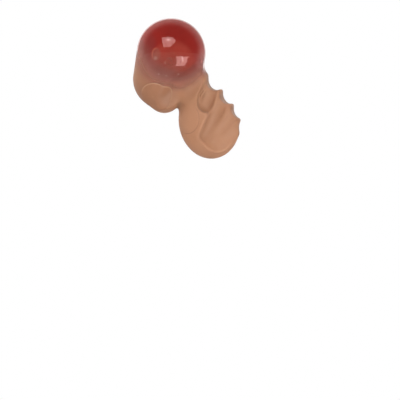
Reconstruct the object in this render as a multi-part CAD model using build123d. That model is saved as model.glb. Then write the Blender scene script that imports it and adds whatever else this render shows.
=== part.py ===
"""Liquid-filled stress ball, held in the shape that a closed fist squeezes it into.

Frame: +Z up, X across, -Y towards the fingertips. The origin is the middle of the neck that the
thumb and first finger ring. Units are millimetres.
"""
import os
from math import sqrt

from build123d import *

# Shape of the filled ball, each ball of the form as (centre, radius)
BULB = ((-13.3, 0.0, 31.7), 31.0)
BELLY = ((-22.5, 5.0, 9.0), 25.2)
UNDERSIDE = ((-21.5, 4.0, 5.5), 23.0)
SHOULDER = ((-19.5, 1.0, -7.5), 15.0)
NECK_TOP = ((-1.0, 5.0, 9.5), 19.5)
NECK_FOOT = ((14.0, 1.0, -14.0), 17.0)
PALM_SAC_CENTRE = (21.0, 0.0, -30.5)
PALM_SAC_HALF_SIZES = (27.5, 17.0, 33.3)
PALM_SAC_LEAN = 10.0  # degrees, top towards -X

# Wall of the skin: stretched thin over the bulb, near its moulded thickness in the hand
BULB_WALL = 0.8
BELLY_WALL = 1.7
HAND_WALL = 2.2

# Closed hand, each stretch of a digit as (start, start radius, end, end radius)
THUMB = (
    ((-34.0, -26.0, -40.0), 13.0, (-10.0, -22.0, -9.0), 11.5),
    ((-10.0, -22.0, -9.0), 11.5, (15.0, -19.5, 11.0), 8.6),
)
INDEX = (
    ((18.3, -14.5, -16.0), 6.8, (25.5, -15.5, 3.5), 7.2),
    ((25.5, -15.5, 3.5), 7.2, (31.0, 20.0, 9.0), 8.5),
)
MIDDLE = (
    ((19.8, -14.5, -43.5), 7.2, (36.0, -17.5, -8.0), 7.4),
    ((36.0, -17.5, -8.0), 7.4, (46.0, 20.0, -5.0), 8.5),
)
RING = (
    ((25.4, -14.5, -49.3), 7.0, (46.5, -16.0, -20.5), 7.2),
    ((46.5, -16.0, -20.5), 7.2, (54.5, 18.0, -18.0), 8.3),
)
LITTLE = (
    ((30.0, -14.0, -51.8), 6.2, (53.5, -13.0, -36.0), 6.6),
    ((53.5, -13.0, -36.0), 6.6, (58.0, 16.0, -34.0), 7.6),
)
KNUCKLE = ((-12.7, 25.0, 24.9), 18.5)
KNUCKLE_LEAN = -15.0  # degrees about X, so that the ball's poles and seam stay off the dent
PALM = ((16.0, 62.0, -32.0), 54.0)

# Filling hole and what closes it, on the belly's front
PLUG_DIRECTION = (-0.17, -0.69, -0.70)
PLUG_STEM_RADIUS = 3.5
PLUG_FLANGE_RADIUS = 6.5
PLUG_FLANGE_THICKNESS = 1.4
PATCH_RADIUS = 13.5
PATCH_THICKNESS = 0.6
ADHESIVE_THICKNESS = 0.15

# Air left in the liquid: (across, up) from the bulb's centre, on its front
LARGE_BUBBLE_PLACE = (-13.0, -3.2)
LARGE_BUBBLE_HALF_SIZES = (3.5, 1.4, 5.6)
SMALL_BUBBLE_PLACES = ((-10.8, -20.6), (-4.1, -22.0), (6.7, -20.6), (-5.0, -11.0))
SMALL_BUBBLE_RADIUS = 0.7
BUBBLE_COVER = 0.15  # liquid between a bubble and the skin


def round_cone(start, start_radius, end, end_radius):
    """Convex hull of two balls."""
    along = Vector(*end) - Vector(*start)
    length = along.length
    sine = (start_radius - end_radius) / length
    cosine = sqrt(1 - sine**2)
    half_sine, half_cosine = sqrt((1 - sine) / 2), sqrt((1 + sine) / 2)
    first_touch = (start_radius * sine, start_radius * cosine)
    last_touch = (length + end_radius * sine, end_radius * cosine)
    outline = [
        ThreePointArc(
            (-start_radius, 0),
            (-start_radius * half_sine, start_radius * half_cosine),
            first_touch,
        ),
        Line(first_touch, last_touch),
        ThreePointArc(
            last_touch,
            (length + end_radius * half_cosine, end_radius * half_sine),
            (length + end_radius, 0),
        ),
        Line((length + end_radius, 0), (-start_radius, 0)),
    ]
    body = revolve(make_face(outline), Axis.X)
    side = Vector(0, 1, 0) if abs(along.normalized().Y) < 0.9 else Vector(1, 0, 0)
    return Plane(start, x_dir=along, z_dir=along.cross(side)) * body


def grown(digit, growth):
    """The same stretches of a digit with every radius larger by growth."""
    return [
        round_cone(start, start_radius + growth, end, end_radius + growth)
        for start, start_radius, end, end_radius in digit
    ]


def ball(centre, radius, lean=0.0):
    return Pos(*centre) * Rot(lean, 0, 0) * Sphere(radius)


def closed_hand(growth):
    """Everything of the hand that presses into the ball, with its surface moved out by growth."""
    digits = [
        stretch
        for digit in (THUMB, INDEX, MIDDLE, RING, LITTLE)
        for stretch in grown(digit, growth)
    ]
    knuckle = ball(KNUCKLE[0], KNUCKLE[1] + growth, KNUCKLE_LEAN)
    palm = ball(PALM[0], PALM[1] + growth)
    return [*digits, knuckle, palm]


def linked(first, first_inset, last, last_inset):
    """Round cone from one ball of the form to another, each moved in by its own inset."""
    return round_cone(first[0], first[1] - first_inset, last[0], last[1] - last_inset)


def form(bulb_inset, belly_inset, hand_inset):
    """Outline of the squeezed ball, moved in by an inset that each region has of its own."""
    half_x, half_y, half_z = (size - hand_inset for size in PALM_SAC_HALF_SIZES)
    palm_sac = (
        Pos(*PALM_SAC_CENTRE) * Rot(0, -PALM_SAC_LEAN, 0) * scale(Sphere(1), by=(half_x, half_y, half_z))
    )
    body = linked(BULB, bulb_inset, BELLY, belly_inset)
    body += linked(UNDERSIDE, belly_inset, SHOULDER, hand_inset)
    body += linked(NECK_TOP, hand_inset, NECK_FOOT, hand_inset)
    body += palm_sac
    for press in closed_hand(hand_inset):
        body -= press
    return body


def wall_form(extra=0.0):
    """Inner face of the skin, or that face moved in by extra."""
    return form(BULB_WALL + extra, BELLY_WALL + extra, HAND_WALL + extra)


def raised_form(height):
    """Outer face of the skin moved out by height."""
    return form(-height, -height, -height)


def about_plug(radius):
    """Rod of a given radius along the plug's axis, from the middle of the belly outwards."""
    rod = Cylinder(radius, 40, align=(Align.CENTER, Align.CENTER, Align.MIN))
    return Plane(BELLY[0], z_dir=PLUG_DIRECTION) * rod


def bubble(place, half_sizes):
    """Air bubble lying against the inside of the bulb's front, its middle half size facing out."""
    half_across, half_deep, half_up = half_sizes
    across, up = place
    reach = BULB[1] - BULB_WALL - BUBBLE_COVER - half_deep
    outward = Vector(across, -sqrt(reach**2 - across**2 - up**2), up)
    level = Vector(0, 0, 1).cross(outward)
    shape = scale(Sphere(1), by=(half_across, half_up, half_deep))
    return Plane(Vector(*BULB[0]) + outward, x_dir=level, z_dir=outward) * shape


outside = form(0, 0, 0)
inside = wall_form()
plug_hole = about_plug(PLUG_STEM_RADIUS)

filler_plug = (outside & plug_hole) - inside
filler_plug += (inside & about_plug(PLUG_FLANGE_RADIUS)) - wall_form(PLUG_FLANGE_THICKNESS)

glued_area = about_plug(PATCH_RADIUS)
glue_top = raised_form(ADHESIVE_THICKNESS)
patch_top = raised_form(ADHESIVE_THICKNESS + PATCH_THICKNESS)

bubbles = [bubble(LARGE_BUBBLE_PLACE, LARGE_BUBBLE_HALF_SIZES)]
for place in SMALL_BUBBLE_PLACES:
    bubbles.append(bubble(place, [SMALL_BUBBLE_RADIUS] * 3))

liquid = inside - filler_plug
for air in bubbles:
    liquid -= air

parts = {
    "skin": outside - inside - plug_hole,
    "liquid_fill": liquid,
    "air_bubbles": Compound(children=bubbles),
    "filler_plug": filler_plug,
    "plug_adhesive": (glue_top & glued_area) - outside,
    "sealing_patch": (patch_top & glued_area) - glue_top,
}

os.makedirs("parts", exist_ok=True)
for name, part in parts.items():
    part.label = name
    export_step(part, f"parts/{name}.step")
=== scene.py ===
"""Liquid-filled stress ball in its squeezed shape: a thin glossy bulb of red liquid above the grip,
and the peach rubber skin folded round the fingers below it.

The shape is a distance field, worked out in millimetres in the row frame and meshed here, so that its
hollows have soft lips. Meshes and lights are in metres.
"""
import math

import bpy
import numpy as np
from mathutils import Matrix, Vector


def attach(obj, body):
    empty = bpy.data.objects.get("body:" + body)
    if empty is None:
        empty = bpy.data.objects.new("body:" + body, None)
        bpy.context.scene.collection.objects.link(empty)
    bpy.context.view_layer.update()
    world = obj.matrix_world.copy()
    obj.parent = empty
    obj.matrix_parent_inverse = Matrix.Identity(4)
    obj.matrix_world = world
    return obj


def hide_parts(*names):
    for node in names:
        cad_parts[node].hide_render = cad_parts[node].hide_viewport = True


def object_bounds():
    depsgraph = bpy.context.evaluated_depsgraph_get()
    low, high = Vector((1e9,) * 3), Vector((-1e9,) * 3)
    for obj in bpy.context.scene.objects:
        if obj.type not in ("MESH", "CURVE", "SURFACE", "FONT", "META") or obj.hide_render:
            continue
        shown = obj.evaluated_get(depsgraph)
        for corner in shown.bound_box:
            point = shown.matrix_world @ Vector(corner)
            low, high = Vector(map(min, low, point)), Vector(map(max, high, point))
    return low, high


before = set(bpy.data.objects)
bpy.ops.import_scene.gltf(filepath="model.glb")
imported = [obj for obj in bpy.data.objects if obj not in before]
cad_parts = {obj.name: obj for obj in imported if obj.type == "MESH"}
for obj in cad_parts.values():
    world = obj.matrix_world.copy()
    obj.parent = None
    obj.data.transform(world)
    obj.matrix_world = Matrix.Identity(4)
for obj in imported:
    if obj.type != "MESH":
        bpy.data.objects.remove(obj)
cad_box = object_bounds()

MM = 0.001

# ---------------------------------------------------------------- sizes, in millimetres, as in the CAD

BULB = ((-13.3, 0.0, 31.7), 31.0)
BELLY = ((-22.5, 5.0, 9.0), 25.2)
UNDERSIDE = ((-21.5, 4.0, 5.5), 23.0)
SHOULDER = ((-19.5, 1.0, -7.5), 15.0)
NECK_TOP = ((-1.0, 5.0, 9.5), 19.5)
NECK_FOOT = ((14.0, 1.0, -14.0), 17.0)
PALM_SAC_CENTRE = (21.0, 0.0, -30.5)
PALM_SAC_HALF_SIZES = (27.5, 17.0, 33.3)
PALM_SAC_LEAN = math.radians(10)
BULB_WALL = 0.8
HAND_WALL = 2.2

THUMB = (
    ((-34.0, -26.0, -40.0), 13.0, (-10.0, -22.0, -9.0), 11.5),
    ((-10.0, -22.0, -9.0), 11.5, (15.0, -19.5, 11.0), 8.6),
)
INDEX = (
    ((18.3, -14.5, -16.0), 6.8, (25.5, -15.5, 3.5), 7.2),
    ((25.5, -15.5, 3.5), 7.2, (31.0, 20.0, 9.0), 8.5),
)
MIDDLE = (
    ((19.8, -14.5, -43.5), 7.2, (36.0, -17.5, -8.0), 7.4),
    ((36.0, -17.5, -8.0), 7.4, (46.0, 20.0, -5.0), 8.5),
)
RING = (
    ((25.4, -14.5, -49.3), 7.0, (46.5, -16.0, -20.5), 7.2),
    ((46.5, -16.0, -20.5), 7.2, (54.5, 18.0, -18.0), 8.3),
)
LITTLE = (
    ((30.0, -14.0, -51.8), 6.2, (53.5, -13.0, -36.0), 6.6),
    ((53.5, -13.0, -36.0), 6.6, (58.0, 16.0, -34.0), 7.6),
)
KNUCKLE = ((-12.7, 25.0, 24.9), 18.5)
PALM = ((16.0, 62.0, -32.0), 54.0)

PLUG_DIRECTION = (-0.17, -0.69, -0.70)
PLUG_STEM_RADIUS = 3.5
PLUG_FLANGE_RADIUS = 6.5
PLUG_FLANGE_THICKNESS = 1.4
PATCH_RADIUS = 13.5
PATCH_THICKNESS = 0.6
ADHESIVE_THICKNESS = 0.15

LARGE_BUBBLE_PLACE = (-13.0, -3.2)
LARGE_BUBBLE_HALF_SIZES = (3.5, 1.4, 5.6)
SMALL_BUBBLE_PLACES = ((-10.8, -20.6), (-4.1, -22.0), (6.7, -20.6), (-5.0, -11.0))
SMALL_BUBBLE_RADIUS = 0.7
BUBBLE_COVER = 0.15

# Soft edges of the visual shape
JOIN_BLEND = 5.0
PRESS_BLEND = 3.2
DIGIT_BLEND = 2.0
LIP_HEIGHT = 0.5
LIP_REACH = 2.4
RIM_SWELL = 2.2  # width of a disc's rounded rim, in thicknesses
PLUG_SOFTNESS = 0.4
ADHESIVE_MARGIN = 0.25  # that shows round the patch
ADHESIVE_SINK = 0.05
LIQUID_GAP = 0.05  # between the liquid and the skin

# Lobe of skin that stands out beside the fingers, in the X and Z of its oval edge
LOBE_CENTRE = (1.2, -16.0, -28.0)
LOBE_HALF_SIZES = (10.6, 20.0, 13.5)
LOBE_HEIGHT = 0.9
# Width of the painted shade along the lobe's crease
LOBE_CREASE_SHADE_WIDTH = 0.0375  # as a share of the oval

# Painted glow between the bulb's side and the thumb's tip: paler pink, more opaque skin standing for
# light through the rubber's edge
THUMB_TIP_GLOW = (15.0, -12.0, 24.0)
THUMB_TIP_GLOW_REACH = 9.0

# Fold that runs down from the thumb's tip, as points in X and Z with the depth at each
FOLD = (
    (17.5, 4.0, 1.2),
    (15.0, -2.0, 2.2),
    (12.0, -7.0, 2.2),
    (11.2, -13.0, 1.2),
    (12.2, -20.0, 0.0),
)
FOLD_WIDTH = 1.5

# How the skin goes from stretched to moulded, each as (over the thumb from, to), in millimetres past
# the thumb's line, and (down the belly from, to), in bulb radii
WALL_FADES = (-12, 5), (0.8, 1.3)
FILM_FADES = (-8, 6), (0.8, 1.1)
CREAM_FADES = (-18, 8), (0.28, 1.4)
SHINE_FADES = (-10, 5), (0.3, 1.2)
FILM_LOSS = 0.985  # opacity that the skin loses where it is thinnest
TOUCH_FADE = (4.5, 7.5)  # millimetres from a digit within which the gloss comes back

# Directions in which the stretch gives way: across the thumb, and down the belly in X and Z
PAST_THUMB = (0.625, 0.0, -0.78)
BELLY_WAY = (-0.65, -0.76)

# Meshing
SKIN_STEP = 0.8
INSIDE_STEP = 1.6
GRID_MARGIN = 6.0
COARSE_STEPS = 4  # fine steps to a step of the grid away from the surface
EVENING_ROUNDS = 3


# ---------------------------------------------------------------- distance field

def smooth_min(a, b, blend):
    share = np.clip(0.5 + 0.5 * (b - a) / blend, 0, 1)
    return b + (a - b) * share - blend * share * (1 - share)


def smooth_max(a, b, blend):
    return -smooth_min(-a, -b, blend)


def smooth_step(low, high, value):
    t = np.clip((value - low) / (high - low), 0, 1)
    return t * t * (3 - 2 * t)


def to_ball(p, centre, radius):
    return np.linalg.norm(p - np.array(centre), axis=-1) - radius


def to_round_cone(p, start, start_radius, end, end_radius):
    """Distance to the convex hull of two balls."""
    start, end = np.array(start), np.array(end)
    length = np.linalg.norm(end - start)
    along = (end - start) / length
    offset = p - start
    height = offset @ along
    out = np.sqrt(np.maximum((offset * offset).sum(-1) - height * height, 0))
    sine = (start_radius - end_radius) / length
    foot = np.clip(height - out * sine / math.sqrt(1 - sine * sine), 0, length)
    radius = start_radius + (end_radius - start_radius) * foot / length
    return np.hypot(out, height - foot) - radius


def to_palm_sac(p):
    """Near enough to the distance to the leaning ellipsoid."""
    offset = p - np.array(PALM_SAC_CENTRE)
    cosine, sine = math.cos(PALM_SAC_LEAN), math.sin(PALM_SAC_LEAN)
    x = cosine * offset[..., 0] + sine * offset[..., 2]
    z = cosine * offset[..., 2] - sine * offset[..., 0]
    offset = np.stack([x, offset[..., 1], z], -1)
    half_sizes = np.array(PALM_SAC_HALF_SIZES)
    scaled = np.linalg.norm(offset / half_sizes, axis=-1)
    slope = np.linalg.norm(offset / half_sizes**2, axis=-1)
    return scaled * (scaled - 1) / np.maximum(slope, 1e-9)


def linked(p, first, last):
    return to_round_cone(p, *first, *last)


def presses(p):
    """Distance to each part of the closed hand."""
    for digit in (THUMB, INDEX, MIDDLE, RING, LITTLE):
        first, last = digit
        yield smooth_min(to_round_cone(p, *first), to_round_cone(p, *last), DIGIT_BLEND)
    yield to_ball(p, *KNUCKLE)
    yield to_ball(p, *PALM)


def oval_reach(p):
    """1 on the lobe's edge, less inside it."""
    return np.linalg.norm((p - np.array(LOBE_CENTRE)) / np.array(LOBE_HALF_SIZES), axis=-1)


def fold_depth(p):
    """How far the fold below the thumb's tip pulls the front of the skin in."""
    depth = np.zeros(p.shape[:-1])
    flat = p[..., [0, 2]]
    for (x0, z0, d0), (x1, z1, d1) in zip(FOLD, FOLD[1:]):
        start, run = np.array((x0, z0)), np.array((x1 - x0, z1 - z0))
        share = np.clip((flat - start) @ run / (run @ run), 0, 1)
        away = np.linalg.norm(flat - start - share[..., None] * run, axis=-1)
        depth = np.maximum(depth, (d0 + (d1 - d0) * share) * np.exp(-((away / FOLD_WIDTH) ** 2)))
    return depth * smooth_step(0.0, -6.0, p[..., 1])


def outer_field(p):
    """Distance to the outside of the skin, negative inside."""
    body = linked(p, BULB, BELLY)
    body = smooth_min(body, linked(p, UNDERSIDE, SHOULDER), JOIN_BLEND)
    body = smooth_min(body, linked(p, NECK_TOP, NECK_FOOT), JOIN_BLEND)
    body = smooth_min(body, to_palm_sac(p), JOIN_BLEND)
    lobe = smooth_step(1.08, 0.8, oval_reach(p))
    lobe *= smooth_step(-9.0, 3.0, p[..., 0]) * smooth_step(-13.0, -22.0, p[..., 2])
    body = body - LOBE_HEIGHT * lobe
    for press in presses(p):
        body = body - LIP_HEIGHT * np.exp(-((press - LIP_REACH) / LIP_REACH) ** 2)
        body = smooth_max(body, -press, PRESS_BLEND)
    return body + fold_depth(p)


def wall(p):
    """Thickness of the skin: thin over the bulb, near its moulded thickness in the hand."""
    return BULB_WALL + (HAND_WALL - BULB_WALL) * (1 - stretch(p, *WALL_FADES))


def across_thumb(p):
    """How far p is past the line of the thumb, away from the bulb."""
    return (p - np.array(THUMB[1][0])) @ np.array(PAST_THUMB)


def down_belly(p):
    """How far p is from the bulb's middle in front view, in bulb radii.

    It counts in full towards the belly and not at all on the far side.
    """
    flat = (p - np.array(BULB[0]))[..., [0, 2]]
    reach = np.linalg.norm(flat, axis=-1)
    toward = flat @ np.array(BELLY_WAY) / np.maximum(reach, 1e-6)
    return reach / BULB[1] * smooth_step(-0.5, 0.95, toward)


def stretch(p, thumb_fade, belly_fade):
    """1 where the skin is stretched thin, 0 past the end of either fade."""
    over_thumb = smooth_step(*thumb_fade, across_thumb(p))
    return (1 - over_thumb) * (1 - smooth_step(*belly_fade, down_belly(p)))


def inner_field(p):
    return outer_field(p) + wall(p)


def liquid_field(p):
    return inner_field(p) + LIQUID_GAP


# ---------------------------------------------------------------- meshing

def sampled(field, step):
    """The field on a grid over the object: exact near the surface, coarse away from it."""
    low = np.array(cad_box[0]) / MM - GRID_MARGIN
    high = np.array(cad_box[1]) / MM + GRID_MARGIN
    coarse = COARSE_STEPS
    count = np.ceil((high - low) / (step * coarse)).astype(int) * coarse + 1
    axes = [low[i] + step * np.arange(count[i]) for i in range(3)]
    points = np.stack(np.meshgrid(*axes, indexing="ij"), -1)
    values = field(points[::coarse, ::coarse, ::coarse])
    index = [np.arange(n) / coarse for n in count]
    near = values
    for axis in range(3):
        below = np.floor(index[axis]).astype(int)
        above = np.minimum(below + 1, near.shape[axis] - 1)
        share = (index[axis] - below).reshape([-1 if i == axis else 1 for i in range(3)])
        near = np.take(near, below, axis) * (1 - share) + np.take(near, above, axis) * share
    close = np.abs(near) < 2.5 * step * coarse
    near[close] = field(points[close])
    return near, low


def at_corner(values, corner):
    """Values at one corner of every cell of the grid."""
    return values[tuple(slice(start, start + n - 1) for start, n in zip(corner, values.shape))]


def surface_net(values, low, step):
    """Quads through the cells that the field's zero passes, one vertex to a cell."""
    inside = values < 0
    shape = np.array(values.shape) - 1
    total = np.zeros((*shape, 3))
    crossings = np.zeros(tuple(shape))
    for axis in range(3):
        others = [i for i in range(3) if i != axis]
        for first in (0, 1):
            for second in (0, 1):
                start = [0, 0, 0]
                start[others[0]], start[others[1]] = first, second
                end = list(start)
                end[axis] = 1
                a, b = at_corner(values, start), at_corner(values, end)
                crossed = (a < 0) != (b < 0)
                where = np.where(crossed, a / np.where(crossed, a - b, 1), 0)
                for i in range(3):
                    total[..., i] += crossed * (where if i == axis else start[i])
                crossings += crossed
    used = crossings > 0
    number = np.full(tuple(shape), -1)
    number[used] = np.arange(used.sum())
    cells = np.argwhere(used)
    vertices = low + step * (cells + total[used] / crossings[used][:, None])
    quads = []
    for axis in range(3):
        u, v = (axis + 1) % 3, (axis + 2) % 3
        size = list(values.shape)
        size[axis] -= 1
        here = tuple(slice(0, size[axis]) if i == axis else slice(1, size[i] - 1) for i in range(3))
        there = tuple(slice(1, None) if i == axis else slice(1, size[i] - 1) for i in range(3))
        edges = np.argwhere(inside[here] != inside[there])
        edges[:, u] += 1
        edges[:, v] += 1
        ring = []
        for du, dv in ((-1, -1), (0, -1), (0, 0), (-1, 0)):
            cell = edges.copy()
            cell[:, u] += du
            cell[:, v] += dv
            ring.append(number[tuple(cell.T)])
        ring = np.stack(ring, -1)
        outward = inside[tuple(edges.T)]
        quads.append(np.where(outward[:, None], ring, ring[:, ::-1]))
    return vertices, np.concatenate(quads)


def slope_of(field, p, reach=0.05):
    """Gradient of the field."""
    steps = np.eye(3) * reach
    return np.stack([field(p + s) - field(p - s) for s in steps], -1) / (2 * reach)


def settled(field, vertices, quads):
    """Vertices evened out along the surface and moved onto the field's zero."""
    pairs = np.concatenate([quads[:, [i, (i + 1) % 4]] for i in range(4)])
    for _ in range(EVENING_ROUNDS):
        total = np.zeros_like(vertices)
        count = np.zeros(len(vertices))
        for a, b in ((0, 1), (1, 0)):
            np.add.at(total, pairs[:, a], vertices[pairs[:, b]])
            np.add.at(count, pairs[:, a], 1)
        vertices = 0.5 * vertices + 0.5 * total / count[:, None]
        slope = slope_of(field, vertices)
        vertices = vertices - (field(vertices) / (slope**2).sum(-1))[:, None] * slope
    return vertices


def field_mesh(field, step):
    vertices, quads = surface_net(*sampled(field, step), step)
    return settled(field, vertices, quads), quads


def add_piece(name, vertices, faces, materials, node, slots=None):
    """A smooth mesh object that rides on the body and stands for its CAD node."""
    mesh = bpy.data.meshes.new(name)
    points = (np.asarray(vertices) * MM).tolist()
    mesh.from_pydata(points, [], [[int(i) for i in face] for face in faces])
    for material in materials:
        mesh.materials.append(material)
    mesh.shade_smooth()
    if slots is not None:
        mesh.polygons.foreach_set("material_index", slots)
    piece = bpy.data.objects.new(name, mesh)
    bpy.context.scene.collection.objects.link(piece)
    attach(piece, "root")
    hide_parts(node)
    return piece


def paint(piece, name, values):
    """A value for each vertex that a material can read."""
    attribute = piece.data.attributes.new(name, "FLOAT", "POINT")
    attribute.data.foreach_set("value", values.astype(np.float32))


# ---------------------------------------------------------------- materials

class Nodes:
    """Short way to write a material's nodes."""

    def __init__(self, name):
        self.material = bpy.data.materials.new(name)
        self.material.use_nodes = True
        self.tree = self.material.node_tree
        self.tree.nodes.clear()

    def fill(self, socket, value):
        """Set a socket to a constant, or link it to another node's output."""
        if isinstance(value, bpy.types.NodeSocket):
            self.tree.links.new(value, socket)
        else:
            socket.default_value = value

    def add(self, kind, **values):
        """A node with its sockets and settings filled in: a socket by its name with _ for a space."""
        node = self.tree.nodes.new(kind)
        for key, value in values.items():
            socket = node.inputs.get(key.replace("_", " ")) if key[0].isupper() else None
            if socket is None:
                setattr(node, key, value)
            else:
                self.fill(socket, value)
        return node

    def place(self):
        """Where a point lies on the object, in metres."""
        return self.add("ShaderNodeTexCoord").outputs["Object"]

    def painted(self, name):
        """A value that was painted on the vertices."""
        return self.add("ShaderNodeAttribute", attribute_name=name).outputs["Fac"]

    def cloud(self, place, scale, detail):
        return self.add("ShaderNodeTexNoise", Vector=place, Scale=scale, Detail=detail).outputs["Fac"]

    def clear(self, colour=(1.0, 1.0, 1.0, 1.0)):
        return self.add("ShaderNodeBsdfTransparent", Color=colour).outputs[0]

    def mix(self, share, first, second):
        node = self.tree.nodes.new("ShaderNodeMixShader")
        for socket, value in zip(node.inputs, (share, first, second)):
            self.fill(socket, value)
        return node.outputs[0]

    def math(self, operation, *values):
        node = self.add("ShaderNodeMath", operation=operation)
        for socket, value in zip(node.inputs, values):
            self.fill(socket, value)
        return node.outputs[0]

    def times(self, first, second):
        return self.math("MULTIPLY", first, second)

    def blend(self, share, first, second):
        """Colour between two colours."""
        node = self.add("ShaderNodeMix", data_type="RGBA")
        for index, value in ((0, share), (6, first), (7, second)):
            self.fill(node.inputs[index], (*value, 1) if isinstance(value, tuple) else value)
        return node.outputs[2]

    def vector_math(self, operation, *values):
        node = self.add("ShaderNodeVectorMath", operation=operation)
        for socket, value in zip(node.inputs, values):
            self.fill(socket, value)
        return node.outputs["Value" if operation == "LENGTH" else "Vector"]

    def reach(self, place, centre, half_sizes):
        """1 on the surface of an ellipsoid given in millimetres, less inside it."""
        away = self.vector_math("SUBTRACT", place, [c * MM for c in centre])
        return self.vector_math("LENGTH", self.vector_math("DIVIDE", away, [h * MM for h in half_sizes]))

    def fade(self, value, low, high, first=0.0, last=1.0):
        """Smooth change from first, at low, to last, at high."""
        node = self.add("ShaderNodeMapRange", interpolation_type="SMOOTHSTEP", Value=value)
        for key, number in {"From Min": low, "From Max": high, "To Min": first, "To Max": last}.items():
            node.inputs[key].default_value = number
        return node.outputs[0]

    def ramp(self, value, *stops):
        """Colour that changes smoothly through the stops, each a place and a colour."""
        node = self.add("ShaderNodeValToRGB", Fac=value)
        node.color_ramp.interpolation = "EASE"
        while len(node.color_ramp.elements) < len(stops):
            node.color_ramp.elements.new(0.5)
        for element, (place, colour) in zip(node.color_ramp.elements, stops):
            element.position = place
            element.color = (*colour, 1)
        return node.outputs[0]

    def two_tones(self, value, tones):
        dark, light = tones
        return self.ramp(value, (0.3, dark), (0.7, light))

    def rubber_grain(self, place):
        """Fine satin grain, as a normal."""
        grain = self.cloud(place, 2600.0, 2.0)
        return self.add("ShaderNodeBump", Height=grain, Strength=0.08, Distance=0.0002).outputs["Normal"]

    def done(self, surface, volume=None):
        out = self.add("ShaderNodeOutputMaterial", Surface=surface)
        if volume is not None:
            self.fill(out.inputs["Volume"], volume)
        return self.material


# Skin seen from outside
PEACH = (0.475, 0.23, 0.128)
PEACH_PALE = (0.50, 0.25, 0.143)
PEACH_DEEP = (0.45, 0.212, 0.113)
# Painted shade on the belly
PEACH_BELLY_SHADE = (0.41, 0.188, 0.105)
STAINED = (0.33, 0.136, 0.092)
PINK = (0.62, 0.21, 0.175)
THUMB_TIP_GLOW_COLOUR = (0.62, 0.26, 0.23)
# Painted shade in the lobe's crease
CREASE_SHADE = (0.2, 0.075, 0.04)
SHINE = (1.0, 0.7, 0.66, 1.0)
FAR_WALL = 0.2  # how much the wall behind the liquid shows, against the near one

# Inner face of the skin, and what of the view through the bulb it passes on
RED = (0.3, 0.019, 0.014)
RED_DEEP = (0.26, 0.016, 0.012)
# Painted shade on the red at the bulb's left
RED_LEFT_SHADE = (0.225, 0.034, 0.03)
# Mauve where the red gives way to peach: its own colour, darkened with painted shade from the thumb
# below
MAUVE_SHADED = (0.225, 0.053, 0.044)
MAUVE_PALE = (0.255, 0.099, 0.078)
# Painted shade low on the bulb, on the colour and on what shows through
LOW_SHADE = (0.03, 0.03, 0.025)
STAIN = (0.60, 0.21, 0.18)
STAIN_PRESSED = (0.70, 0.75, 0.58)
STAIN_LOW_SHADE = (0.2, 0.45, 0.35)
LIQUID_BODY = 0.55
PRESSED_BODY = 0.25

# Air against the skin
AIR = (0.6, 0.42, 0.36)
AIR_DARK = (0.14, 0.06, 0.05)
AIR_STAIN = (0.4, 0.8, 0.7)
# Painted highlight along the lit rim of the large pocket of air
AIR_RIM_HIGHLIGHT = (1.0, 0.24, 0.14)
SPECK_STRENGTHS = (0.5, 0.25, 0.3, 0.3)  # of the small bubbles

# Pieces over the filling hole, each darker and lighter tone
PATCH_TONES = ((0.39, 0.173, 0.09), (0.43, 0.195, 0.105))
GLUE_TONES = ((0.5, 0.3, 0.17), (0.6, 0.4, 0.25))
PLUG_TONES = ((0.42, 0.19, 0.11), (0.5, 0.24, 0.14))

# Regions of the colours, each as (centre, half sizes)
THROUGH = 900.0  # half size of a region that runs right through the ball
BELLY_SHADE_REGION = ((-26.0, 0.0, 0.0), (27.0, THROUGH, 27.0))
CREASE_SHADE_REGION = ((14.0, -16.0, -36.0), (19.0, 30.0, 20.0))
LEFT_SHADE_REGION = ((-32.0, -18.0, 38.0), (8.0, THROUGH, 12.0))
LOW_SHADE_REGION = ((-15.0, -20.0, 16.0), (20.0, THROUGH, 18.0))


def moulded_colour(n, place, cream):
    """Peach of the skin as moulded, with painted shade on the belly and in the lobe's crease."""
    colour = n.ramp(n.cloud(place, 60.0, 3.0), (0.3, PEACH_DEEP), (0.5, PEACH), (0.75, PEACH_PALE))
    # Painted shade on the belly
    colour = n.blend(n.fade(n.reach(place, *BELLY_SHADE_REGION), 1.0, 0.5), colour, PEACH_BELLY_SHADE)
    # Painted shade in the lobe's crease
    edge = n.reach(place, LOBE_CENTRE, (LOBE_HALF_SIZES[0], THROUGH, LOBE_HALF_SIZES[2]))
    off_edge = n.math("ABSOLUTE", n.math("SUBTRACT", edge, 1.0))
    crease = n.fade(off_edge, 0.0, LOBE_CREASE_SHADE_WIDTH, 1.0, 0.0)
    seen = n.fade(n.reach(place, *CREASE_SHADE_REGION), 0.75, 1.0, 0.55, 0.0)
    colour = n.blend(n.times(crease, seen), colour, CREASE_SHADE)
    return n.blend(n.fade(cream, 0.65, 0.97), STAINED, colour)


def film_opacity(n, film, thumb_tip_glow, facing, outside):
    """How much the skin hides: more where it is seen slantwise or has the painted glow, less on the far
    wall.
    """
    path = n.math("DIVIDE", 1.0, n.math("MAXIMUM", n.math("SUBTRACT", 1.0, facing), 0.08))
    path = n.times(path, n.math("ADD", n.times(outside, 1 - FAR_WALL), FAR_WALL))
    opacity = n.math("SUBTRACT", 1.0, n.math("POWER", n.math("SUBTRACT", 1.0, film), path))
    opacity = n.math("MAXIMUM", opacity, n.fade(n.times(facing, outside), 0.6, 1.0, 0.0, 0.75))
    return n.math("MAXIMUM", opacity, n.times(thumb_tip_glow, 0.5))


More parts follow.
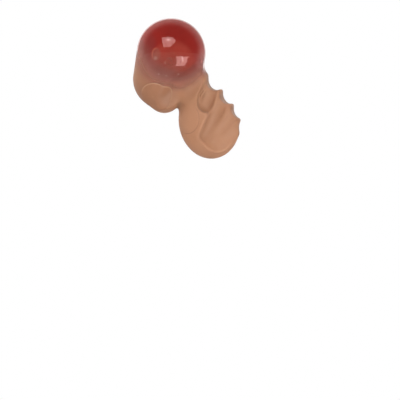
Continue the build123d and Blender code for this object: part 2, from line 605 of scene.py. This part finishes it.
def skin_material():
    """Soft rubber: satin peach as moulded, glossy and clear where it is stretched."""
    n = Nodes("skin_rubber")
    place = n.place()
    film, cream, thumb_tip_glow = n.painted("film"), n.painted("cream"), n.painted("thumb_tip_glow")
    colour = n.blend(n.fade(film, 0.0, 0.15), PINK, moulded_colour(n, place, cream))
    # Painted glow beside the thumb's tip: paler pink
    colour = n.blend(thumb_tip_glow, colour, THUMB_TIP_GLOW_COLOUR)
    grain = n.rubber_grain(place)
    body = n.add("ShaderNodeBsdfPrincipled", Base_Color=colour, Roughness=0.5, Normal=grain)
    body.inputs["Specular IOR Level"].default_value = 0.3
    body.inputs["Sheen Weight"].default_value = 0.2
    body.inputs["Sheen Roughness"].default_value = 0.4
    glow = n.add("ShaderNodeBsdfTranslucent", Color=colour).outputs[0]
    milky = n.mix(0.3, body.outputs[0], glow)
    facing = n.add("ShaderNodeLayerWeight", Blend=0.5).outputs["Facing"]
    outside = n.math("SUBTRACT", 1.0, n.add("ShaderNodeNewGeometry").outputs["Backfacing"])
    rubber = n.mix(film_opacity(n, film, thumb_tip_glow, facing, outside), n.clear(), milky)
    fresnel = n.math("MINIMUM", n.add("ShaderNodeFresnel", IOR=1.48).outputs[0], 0.14)
    gloss = n.times(n.times(fresnel, n.painted("shine")), outside)
    shine = n.add("ShaderNodeBsdfGlossy", Color=SHINE, Roughness=0.06).outputs[0]
    return n.done(n.mix(gloss, rubber, shine))


def with_air(n, place, colour, stain):
    """The colour and the stain of the inner face with the pockets of air that lie against it."""
    middle = bubble_spot(LARGE_BUBBLE_PLACE, 0.0)
    half_across, _, half_up = LARGE_BUBBLE_HALF_SIZES
    edge = n.reach(place, middle, (half_across * 1.15, THROUGH, half_up * 1.05))
    lit_side = n.reach(place, middle + (1.6, 0.0, -1.8), (half_across * 1.1, THROUGH, half_up * 1.05))
    front = n.fade(n.reach(place, middle, [12.0] * 3), 1.0, 0.99)
    pocket = n.times(n.fade(edge, 1.02, 0.9), front)
    colour = n.blend(n.times(pocket, 0.25), colour, AIR_DARK)
    stain = n.blend(n.times(pocket, 0.2), stain, AIR_STAIN)
    # Painted pool of light at the foot of the large pocket
    light_pool = n.fade(n.reach(place, middle + (-0.5, 0.0, -3.4), (2.4, THROUGH, 2.4)), 0.2, 1.0, 1.0, 0.0)
    pale = n.times(pocket, n.math("ADD", n.times(light_pool, 0.2), 0.03))
    for spot, strength in zip(SMALL_BUBBLE_PLACES, SPECK_STRENGTHS):
        across = SMALL_BUBBLE_RADIUS * 1.5
        speck = n.reach(place, bubble_spot(spot, 0.0), (across, 8.0, across))
        pale = n.math("ADD", pale, n.fade(speck, 1.0, 0.3, 0.0, strength))
    # Painted highlight along the pocket's lit rim
    rim = n.times(n.fade(edge, 0.62, 0.9), n.fade(lit_side, 1.1, 1.35))
    rim = n.times(rim, n.fade(edge, 1.02, 0.95, 0.0, 0.3))
    return n.blend(pale, n.blend(rim, colour, AIR_RIM_HIGHLIGHT), AIR), stain


def skin_inside_material():
    """The skin's inner face: peach, and over the liquid mauve and then red.

    The knuckle's dent is clearer and so shows through the liquid. The red has painted shade at the left
    and low down, and the mauve is darkened by painted shade from the thumb below.
    """
    n = Nodes("skin_inside")
    place = n.place()
    cream = n.painted("cream")
    # Painted shade on the red at the bulb's left
    left_shade = n.fade(n.reach(place, *LEFT_SHADE_REGION), 1.0, 0.3, 0.0, 0.8)
    red = n.blend(n.fade(n.cloud(place, 45.0, 2.0), 0.35, 0.7), RED, RED_DEEP)
    # The mauve carries painted shade from the thumb below
    colour = n.blend(n.fade(cream, 0.0, 0.2), n.blend(left_shade, red, RED_LEFT_SHADE), MAUVE_SHADED)
    colour = n.blend(n.fade(cream, 0.17, 0.48), colour, MAUVE_PALE)
    colour = n.blend(n.fade(cream, 0.45, 0.7), colour, STAINED)
    pressed = n.fade(n.reach(place, KNUCKLE[0], [KNUCKLE[1] + BULB_WALL] * 3), 1.06, 1.04)
    # Painted shade low on the bulb
    low = n.fade(n.reach(place, *LOW_SHADE_REGION), 1.0, 0.3, 0.0, 0.2)
    colour = n.blend(low, colour, LOW_SHADE)
    stain = n.blend(low, n.blend(pressed, STAIN, STAIN_PRESSED), STAIN_LOW_SHADE)
    colour, stain = with_air(n, place, colour, stain)
    body = n.math("ADD", n.times(pressed, PRESSED_BODY - LIQUID_BODY), LIQUID_BODY)
    body = n.math("ADD", n.times(n.fade(cream, 0.0, 0.65), n.math("SUBTRACT", 1.0, body)), body)
    solid = n.add("ShaderNodeBsdfDiffuse", Color=colour).outputs[0]
    return n.done(n.mix(body, n.clear(stain), solid))


def liquid_material():
    """Clear red liquid, dark through its whole depth and paler where it is thin."""
    n = Nodes("red_liquid")
    tint = n.add("ShaderNodeVolumeAbsorption", Color=(0.75, 0.12, 0.05, 1), Density=20.0).outputs[0]
    return n.done(n.clear(), tint)


def bubble_material():
    """Air in the liquid, seen only by its edge."""
    n = Nodes("air_pocket")
    edge = n.add("ShaderNodeLayerWeight", Blend=0.3).outputs["Facing"]
    pale = n.add("ShaderNodeBsdfDiffuse", Color=(*AIR, 1)).outputs[0]
    inside = n.add("ShaderNodeNewGeometry").outputs["Backfacing"]
    return n.done(n.mix(inside, n.mix(n.times(edge, 0.5), n.clear(), pale), n.clear()))


def patch_material():
    n = Nodes("patch_rubber")
    place = n.place()
    colour = n.two_tones(n.cloud(place, 90.0, 3.0), PATCH_TONES)
    grain = n.rubber_grain(place)
    body = n.add("ShaderNodeBsdfPrincipled", Base_Color=colour, Roughness=0.5, Normal=grain)
    glow = n.add("ShaderNodeBsdfTranslucent", Color=colour).outputs[0]
    return n.done(n.mix(0.3, body.outputs[0], glow))


def plain_material(name, cloud_scale, tones, roughness):
    """Faintly clouded solid colour, for what lies under the patch."""
    n = Nodes(name)
    colour = n.two_tones(n.cloud(n.place(), cloud_scale, 2.0), tones)
    body = n.add("ShaderNodeBsdfPrincipled", Base_Color=colour, Roughness=roughness)
    return n.done(body.outputs[0])


# ---------------------------------------------------------------- pieces

def bubble_spot(place, depth):
    """Point at a depth under the bulb's front skin, (across, up) from the bulb's middle."""
    across, up = place
    reach = BULB[1] - BULB_WALL - depth
    return np.array(BULB[0]) + (across, -math.sqrt(reach**2 - across**2 - up**2), up)


def film_of(p):
    """Opacity of the skin's outside, seen square on."""
    return 1 - FILM_LOSS * stretch(p, *FILM_FADES)


def thumb_tip_glow_of(p):
    """How strongly the painted glow, paler pink, lies beside the thumb's tip."""
    return np.exp(-((np.linalg.norm(p - np.array(THUMB_TIP_GLOW), axis=-1) / THUMB_TIP_GLOW_REACH) ** 2))


def cream_of(p):
    """How far the inside of the skin has gone from red, over the liquid, to peach."""
    return 1 - stretch(p, *CREAM_FADES)


def shine_of(p):
    """Gloss of the stretched skin, which a finger's touch takes off."""
    touch = np.min(list(presses(p)), axis=0)
    return smooth_step(0.0, 0.7, stretch(p, *SHINE_FADES)) * smooth_step(*TOUCH_FADE, touch)


def make_skin():
    outer, outer_quads = field_mesh(outer_field, SKIN_STEP)
    inner, inner_quads = field_mesh(inner_field, INSIDE_STEP)
    vertices = np.concatenate([outer, inner])
    faces = np.concatenate([outer_quads, inner_quads[:, ::-1] + len(outer)])
    slots = np.repeat([0, 1], [len(outer_quads), len(inner_quads)])
    materials = [skin_material(), skin_inside_material()]
    piece = add_piece("skin_shell", vertices, faces, materials, "skin", slots)
    painted = {"film": film_of, "cream": cream_of, "shine": shine_of, "thumb_tip_glow": thumb_tip_glow_of}
    for name, value_of in painted.items():
        paint(piece, name, value_of(vertices))


def make_liquid():
    vertices, quads = field_mesh(liquid_field, INSIDE_STEP)
    piece = add_piece("liquid_body", vertices, quads, [liquid_material()], "liquid_fill")


def axes_about(outward):
    """Level, upward and outward unit vectors of a frame that faces outward."""
    outward = outward / np.linalg.norm(outward)
    level = np.cross((0, 0, 1), outward)
    level /= np.linalg.norm(level)
    return level, np.cross(outward, level), outward


def fan(tip, first, sides):
    """Triangles from a tip to the ring of vertices that starts at first."""
    return [(tip, first + side, first + (side + 1) % sides) for side in range(sides)]


def tube(first, rings, sides):
    """Quads between rings of vertices that follow one another from first."""
    faces = []
    for row in range(first, first + (rings - 1) * sides, sides):
        for side in range(sides):
            after = (side + 1) % sides
            faces.append((row + side, row + sides + side, row + sides + after, row + after))
    return faces


def flipped(faces):
    return [face[::-1] for face in faces]


def ellipsoid(middle, axes, half_sizes, rings=24, sides=36):
    """Closed ball of faces stretched along three axes, a little uneven all round."""
    vertices = [middle + axes[2] * half_sizes[2]]
    for ring in range(1, rings):
        tilt = math.pi * ring / rings
        for side in range(sides):
            turn = 2 * math.pi * side / sides
            narrow = 1 + 0.12 * math.sin(tilt) * math.sin(turn - 0.6)
            local = (math.sin(tilt) * math.cos(turn), math.sin(tilt) * math.sin(turn), math.cos(tilt))
            vertices.append(middle + sum(a * h * c * narrow for a, h, c in zip(axes, half_sizes, local)))
    vertices.append(middle - axes[2] * half_sizes[2])
    last_ring = 1 + (rings - 2) * sides
    end = flipped(fan(len(vertices) - 1, last_ring, sides))
    return vertices, fan(0, 1, sides) + tube(1, rings - 1, sides) + end


def make_bubbles():
    vertices, faces = [], []
    places = [(LARGE_BUBBLE_PLACE, LARGE_BUBBLE_HALF_SIZES)]
    places += [(place, [SMALL_BUBBLE_RADIUS] * 3) for place in SMALL_BUBBLE_PLACES]
    for place, (half_across, half_deep, half_up) in places:
        middle = bubble_spot(place, half_deep + BUBBLE_COVER)
        axes = axes_about(middle - np.array(BULB[0]))
        some, more = ellipsoid(middle, axes, (half_across, half_up, half_deep))
        faces += [tuple(index + len(vertices) for index in face) for face in more]
        vertices += some
    add_piece("air_pockets", vertices, faces, [bubble_material()], "air_bubbles")


def on_field(field, spots, outward):
    """Where lines outwards from the spots leave the field's inside."""
    low, high = np.zeros(len(spots)), np.full(len(spots), 40.0)
    for _ in range(30):
        middle = (low + high) / 2
        inside = field(spots + middle[:, None] * outward) < 0
        low = np.where(inside, middle, low)
        high = np.where(inside, high, middle)
    return spots + low[:, None] * outward


def draped(radius, bottom, top, rings=16, sides=72):
    """Disc that lies on the skin over the plug, from one height above it to another, its rim rounded."""
    start = np.array(BELLY[0])
    level, up, outward = axes_about(np.array(PLUG_DIRECTION))
    turns = 2 * np.pi * np.arange(sides) / sides
    spokes = np.cos(turns)[:, None] * level + np.sin(turns)[:, None] * up
    reach = radius * np.sin(0.5 * np.pi * np.arange(1, rings + 1) / rings)
    spots = np.concatenate([start[None], *(start + r * spokes for r in reach)])
    ground = on_field(outer_field, spots, outward)
    normal = slope_of(outer_field, ground)
    normal /= np.linalg.norm(normal, axis=-1)[:, None]
    from_rim = radius - np.concatenate([[0.0], np.repeat(reach, sides)])
    swell = np.sqrt(1 - (1 - np.clip(from_rim / (RIM_SWELL * (top - bottom)), 0, 1)) ** 2)
    upper = ground + normal * (bottom + (top - bottom) * (0.15 + 0.85 * swell))[:, None]
    lower = ground + normal * bottom
    below = len(spots)
    faces = fan(0, 1, sides) + tube(1, rings, sides)
    faces += flipped(fan(below, below + 1, sides) + tube(below + 1, rings, sides))
    rim = 1 + (rings - 1) * sides
    for side in range(sides):
        after = (side + 1) % sides
        faces.append((rim + side, rim + side + below, rim + after + below, rim + after))
    return np.concatenate([upper, lower]), faces


def make_patch():
    vertices, faces = draped(PATCH_RADIUS, ADHESIVE_THICKNESS, ADHESIVE_THICKNESS + PATCH_THICKNESS)
    add_piece("patch_disc", vertices, faces, [patch_material()], "sealing_patch")


def make_adhesive():
    """Glue that shows as a thin line round the patch and sinks a little into the skin."""
    vertices, faces = draped(PATCH_RADIUS + ADHESIVE_MARGIN, -ADHESIVE_SINK, ADHESIVE_THICKNESS)
    glue = plain_material("clear_glue", 200.0, GLUE_TONES, 0.2)
    add_piece("glue_film", vertices, faces, [glue], "plug_adhesive")


def make_plug():
    """Mushroom plug: a stem through the skin and a flange against its inside."""
    start = np.array(BELLY[0])
    level, up, outward = axes_about(np.array(PLUG_DIRECTION))
    skin_top = np.linalg.norm(on_field(outer_field, start[None], outward)[0] - start)
    skin_foot = np.linalg.norm(on_field(inner_field, start[None], outward)[0] - start)
    flange_foot = skin_foot - PLUG_FLANGE_THICKNESS
    soft = PLUG_SOFTNESS
    outline = [
        (0.0, flange_foot),
        (PLUG_FLANGE_RADIUS - soft, flange_foot),
        (PLUG_FLANGE_RADIUS, flange_foot + soft),
        (PLUG_FLANGE_RADIUS, skin_foot - 0.5 - soft),
        (PLUG_FLANGE_RADIUS - soft, skin_foot - 0.5),
        (PLUG_STEM_RADIUS + soft, skin_foot - 0.2),
        (PLUG_STEM_RADIUS, skin_foot + soft),
        (PLUG_STEM_RADIUS, skin_top - soft),
        (PLUG_STEM_RADIUS - soft, skin_top - 0.1),
        (0.0, skin_top - 0.1),
    ]
    sides = 48
    vertices = [start + outward * outline[0][1], start + outward * outline[-1][1]]
    for radius, height in outline[1:-1]:
        for side in range(sides):
            turn = 2 * math.pi * side / sides
            spoke = level * math.cos(turn) + up * math.sin(turn)
            vertices.append(start + outward * height + spoke * radius)
    rings = len(outline) - 2
    last_ring = 2 + (rings - 1) * sides
    faces = flipped(fan(0, 2, sides) + tube(2, rings, sides)) + fan(1, last_ring, sides)
    rubber = plain_material("plug_rubber", 150.0, PLUG_TONES, 0.45)
    add_piece("plug_stopper", vertices, faces, [rubber], "filler_plug")


make_skin()
make_liquid()
make_bubbles()
make_patch()
make_adhesive()
make_plug()


# ---------------------------------------------------------------- camera, light and stage

# The camera looks level along +Y; sizes and places are in metres
VIEW_WIDTH = 0.36
CAMERA_DISTANCE = 1.8
CAMERA_SPOT = (0.0126, -0.1008)
SENSOR_WIDTH = 36
FLOOR = -0.32
FLOOR_REACH = 12.0

# Strength of the room: the Y of direction that it fades from and to, in front and behind, and the
# strength at each
ROOM_LIGHT = (-0.6, 0.2, 0.15, 0.95)
ROOM_MIRRORED = (0.0, 0.6, 0.06, 0.9)
ROOM_SEEN = (-1.0, 1.0, 1.0, 1.0)

# Where each softbox and the lamp in it show on the bulb, (across, up) from its middle in bulb radii
HIGH_PANEL = (
    (-0.275, 0.435),
    (0.035, 0.44),
    (0.1, 0.405),
    (0.135, 0.35),
    (0.1, 0.29),
    (-0.015, 0.165),
    (-0.22, 0.165),
)
HIGH_LAMP = (-0.08, 0.345)
LOW_PANEL = (
    (0.15, -0.1),
    (0.49, -0.1),
    (0.36, -0.355),
    (0.135, -0.355),
)
LOW_LAMP = (0.285, -0.16)
LAMP_COLOUR = (0.65, 1.0, 1.0)


def add_camera():
    data = bpy.data.cameras.new("camera")
    data.sensor_width = SENSOR_WIDTH
    data.lens = SENSOR_WIDTH * CAMERA_DISTANCE / VIEW_WIDTH
    data.clip_end = 50
    camera = bpy.data.objects.new("camera", data)
    camera.location = (CAMERA_SPOT[0], -CAMERA_DISTANCE, CAMERA_SPOT[1])
    camera.rotation_euler = (math.radians(90), 0, 0)
    bpy.context.scene.collection.objects.link(camera)
    bpy.context.scene.camera = camera


def mirrored(across, up):
    """Direction that the camera sees reflected at a place on the bulb, in bulb radii from its middle."""
    spot = Vector(BULB[0]) * MM
    to_camera = (bpy.context.scene.camera.location - spot).normalized()
    side = to_camera.cross((0, 0, -1)).normalized()
    over = to_camera.cross(side)
    normal = side * across + over * up + to_camera * math.sqrt(1 - across**2 - up**2)
    return 2 * normal.dot(to_camera) * normal - to_camera


def add_softbox(name, corners, lamp, lamp_sizes, distance, strength, lamp_strength):
    """Glowing panel whose corners, and whose lamp, show at given places on the bulb.

    The lamp's half sizes are in millimetres at a distance of one metre.
    """
    spot = Vector(BULB[0]) * MM
    points = [spot + mirrored(*corner) * distance for corner in corners]
    mesh = bpy.data.meshes.new(name)
    middle = sum(points, Vector()) / len(points)
    mesh.from_pydata([middle, *points], [], fan(0, 1, len(points)))
    n = Nodes(name)
    place = n.place()
    bright = (spot + mirrored(*lamp) * distance) / MM
    glare = n.reach(place, bright, [distance * size for size in lamp_sizes])
    strength = n.fade(glare, 0.0, 1.0, lamp_strength, strength)
    colour = n.blend(n.fade(glare, 0.0, 1.0), LAMP_COLOUR, (1.0, 1.0, 1.0))
    glow = n.add("ShaderNodeEmission", Color=colour, Strength=strength).outputs[0]
    mesh.materials.append(n.done(glow))
    panel = bpy.data.objects.new(name, mesh)
    panel.visible_camera = False
    panel.visible_shadow = False
    bpy.context.scene.collection.objects.link(panel)


def add_fill(name, location, energy):
    """Soft light that leaves no mark on the bulb."""
    data = bpy.data.lights.new(name, "AREA")
    data.size = 1.0
    data.energy = energy
    fill = bpy.data.objects.new(name, data)
    fill.location = location
    fill.rotation_euler = (-fill.location).to_track_quat("-Z", "Y").to_euler()
    fill.visible_camera = False
    fill.visible_glossy = False
    bpy.context.scene.collection.objects.link(fill)


def add_floor():
    """Pale floor well below the ball, which is held in the air. Light from below passes through it."""
    mesh = bpy.data.meshes.new("floor")
    signs = ((-1, -1), (1, -1), (1, 1), (-1, 1))
    corners = [(x * FLOOR_REACH, y * FLOOR_REACH, FLOOR) for x, y in signs]
    mesh.from_pydata(corners, [], [(0, 1, 2, 3)])
    n = Nodes("floor")
    dull = n.add("ShaderNodeBsdfDiffuse", Color=(0.4, 0.4, 0.4, 1)).outputs[0]
    white = n.add("ShaderNodeEmission", Strength=1.0).outputs[0]
    seen = n.add("ShaderNodeLightPath").outputs["Is Camera Ray"]
    mesh.materials.append(n.done(n.mix(seen, dull, white)))
    floor = bpy.data.objects.new("floor", mesh)
    floor.visible_shadow = False
    bpy.context.scene.collection.objects.link(floor)


def add_world():
    """White to the camera, but as light and in reflections bright behind the ball and dim in front."""
    world = bpy.data.worlds.new("studio")
    bpy.context.scene.world = world
    world.use_nodes = True
    tree = world.node_tree
    tree.nodes.clear()
    place = tree.nodes.new("ShaderNodeTexCoord").outputs["Generated"]
    split = tree.nodes.new("ShaderNodeSeparateXYZ")
    tree.links.new(place, split.inputs[0])

    def backdrop(near, far, dim, bright):
        fade = tree.nodes.new("ShaderNodeMapRange")
        fade.interpolation_type = "SMOOTHSTEP"
        tree.links.new(split.outputs["Y"], fade.inputs["Value"])
        for key, value in {"From Min": near, "From Max": far, "To Min": dim, "To Max": bright}.items():
            fade.inputs[key].default_value = value
        glow = tree.nodes.new("ShaderNodeBackground")
        glow.inputs["Color"].default_value = (1, 1, 1, 1)
        tree.links.new(fade.outputs[0], glow.inputs["Strength"])
        return glow.outputs[0]

    path = tree.nodes.new("ShaderNodeLightPath")
    shown = backdrop(*ROOM_LIGHT)
    for ray, light in (("Is Glossy Ray", ROOM_MIRRORED), ("Is Camera Ray", ROOM_SEEN)):
        mix = tree.nodes.new("ShaderNodeMixShader")
        tree.links.new(path.outputs[ray], mix.inputs[0])
        tree.links.new(shown, mix.inputs[1])
        tree.links.new(backdrop(*light), mix.inputs[2])
        shown = mix.outputs[0]
    out = tree.nodes.new("ShaderNodeOutputWorld")
    tree.links.new(shown, out.inputs[0])


add_camera()
add_world()
add_floor()
add_fill("fill_left", (-1.4, 0.0, -0.05), 9.5)
add_fill("fill_high", (-0.9, -1.1, 0.9), 5.5)
add_fill("fill_below", (0.35, -0.1, -1.3), 5.0)
add_softbox(
    "softbox_high",
    HIGH_PANEL,
    HIGH_LAMP,
    lamp_sizes=(200, 200, 95),
    distance=1.0,
    strength=5.1,
    lamp_strength=24.0,
)
add_softbox(
    "softbox_low",
    LOW_PANEL,
    LOW_LAMP,
    lamp_sizes=(75, 300, 240),
    distance=0.45,
    strength=6.1,
    lamp_strength=16.5,
)
scene = bpy.context.scene
scene.view_settings.view_transform = "Standard"
scene.cycles.transparent_max_bounces = 32
